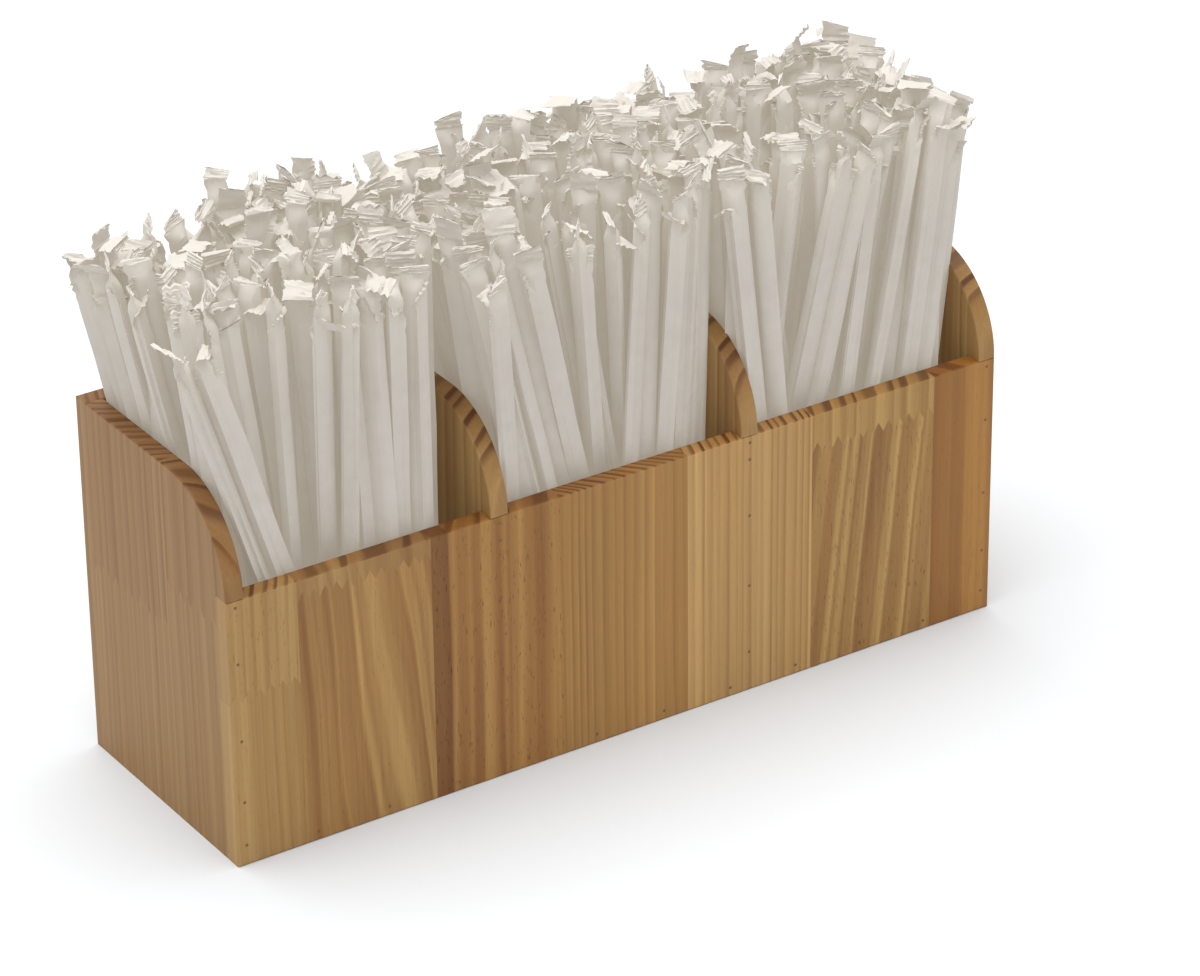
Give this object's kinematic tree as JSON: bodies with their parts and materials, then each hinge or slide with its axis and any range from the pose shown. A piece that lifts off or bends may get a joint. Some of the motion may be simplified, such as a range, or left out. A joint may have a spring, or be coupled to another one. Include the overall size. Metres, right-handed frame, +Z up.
{
  "type": "straw dispenser box",
  "caption": "Divided wooden box with quarter-round ends that holds paper-wrapped drinking straws upright, each bundle and the front straws free to lift out.",
  "frame": {"origin": "centre of the box's underside, on the surface it stands on", "axes": "+X to the right along the low front panel, +Y from the low front to the tall back, +Z up"},
  "size_m": [0.4131, 0.1397, 0.2597],
  "materials": {
    "pine_pale": "satin",
    "pine_warm": "satin",
    "pine_dark": "satin",
    "brad_steel": "satin",
    "paper_sleeve": "matte",
    "straw_plastic": "satin"
  },
  "bodies": {
    "box": {"back_brads": "brad_steel", "back_stave_1": "pine_dark", "back_stave_2": "pine_warm", "back_stave_3_lower": "pine_pale", "back_stave_3_upper": "pine_pale", "back_stave_4": "pine_warm", "back_stave_5": "pine_dark", "back_stave_6_lower": "pine_warm", "back_stave_6_upper": "pine_warm", "back_stave_7": "pine_pale", "bottom_front_board": "pine_warm", "bottom_rear_board": "pine_warm", "front_brads": "brad_steel", "front_stave_1_lower": "pine_pale", "front_stave_1_upper": "pine_pale", "front_stave_2_lower": "pine_warm", "front_stave_2_upper": "pine_warm", "front_stave_3": "pine_dark", "front_stave_4": "pine_warm", "front_stave_5": "pine_pale", "front_stave_6_lower": "pine_warm", "front_stave_6_upper": "pine_warm", "front_stave_7": "pine_dark", "left_divider_front_stave": "pine_pale", "left_divider_rear_stave": "pine_pale", "left_end_front_stave_lower": "pine_pale", "left_end_front_stave_upper": "pine_pale", "left_end_rear_stave_lower": "pine_pale", "left_end_rear_stave_upper": "pine_pale", "right_divider_front_stave": "pine_pale", "right_divider_rear_stave": "pine_pale", "right_end_front_stave_lower": "pine_pale", "right_end_front_stave_upper": "pine_pale", "right_end_rear_stave": "pine_pale"},
    "left_bundle": {"left_bundle_sleeves": "paper_sleeve", "left_bundle_straws": "straw_plastic"},
    "left_single_1": {"left_single_1_sleeve": "paper_sleeve", "left_single_1_straw": "straw_plastic"},
    "left_single_2": {"left_single_2_sleeve": "paper_sleeve", "left_single_2_straw": "straw_plastic"},
    "middle_bundle": {"middle_bundle_sleeves": "paper_sleeve", "middle_bundle_straws": "straw_plastic"},
    "middle_single_1": {"middle_single_1_sleeve": "paper_sleeve", "middle_single_1_straw": "straw_plastic"},
    "middle_single_2": {"middle_single_2_sleeve": "paper_sleeve", "middle_single_2_straw": "straw_plastic"},
    "right_bundle": {"right_bundle_sleeves": "paper_sleeve", "right_bundle_straws": "straw_plastic"},
    "right_single_1": {"right_single_1_sleeve": "paper_sleeve", "right_single_1_straw": "straw_plastic"},
    "right_single_2": {"right_single_2_sleeve": "paper_sleeve", "right_single_2_straw": "straw_plastic"}
  },
  "joints": [
    {"name": "left_bundle_lift", "type": "slide", "parent": "box", "child": "left_bundle", "axis": [0, 0, 1], "range_m": [0, 0.18]},
    {"name": "left_single_1_draw", "type": "slide", "parent": "left_bundle", "child": "left_single_1", "axis": [-0.2857, 0.0235, 0.958], "range_m": [0, 0.24]},
    {"name": "left_single_2_draw", "type": "slide", "parent": "left_bundle", "child": "left_single_2", "axis": [-0.2862, 0.0148, 0.9581], "range_m": [0, 0.24]},
    {"name": "middle_bundle_lift", "type": "slide", "parent": "box", "child": "middle_bundle", "axis": [0, 0, 1], "range_m": [0, 0.18]},
    {"name": "middle_single_1_draw", "type": "slide", "parent": "middle_bundle", "child": "middle_single_1", "axis": [0.0603, 0, 0.9982], "range_m": [0, 0.24]},
    {"name": "middle_single_2_draw", "type": "slide", "parent": "middle_bundle", "child": "middle_single_2", "axis": [0.0599, -0.0213, 0.998], "range_m": [0, 0.24]},
    {"name": "right_bundle_lift", "type": "slide", "parent": "box", "child": "right_bundle", "axis": [0, 0, 1], "range_m": [0, 0.18]},
    {"name": "right_single_1_draw", "type": "slide", "parent": "right_bundle", "child": "right_single_1", "axis": [-0.106, 0.0065, 0.9943], "range_m": [0, 0.24]},
    {"name": "right_single_2_draw", "type": "slide", "parent": "right_bundle", "child": "right_single_2", "axis": [0.0245, 0.0376, 0.999], "range_m": [0, 0.24]}
  ]
}
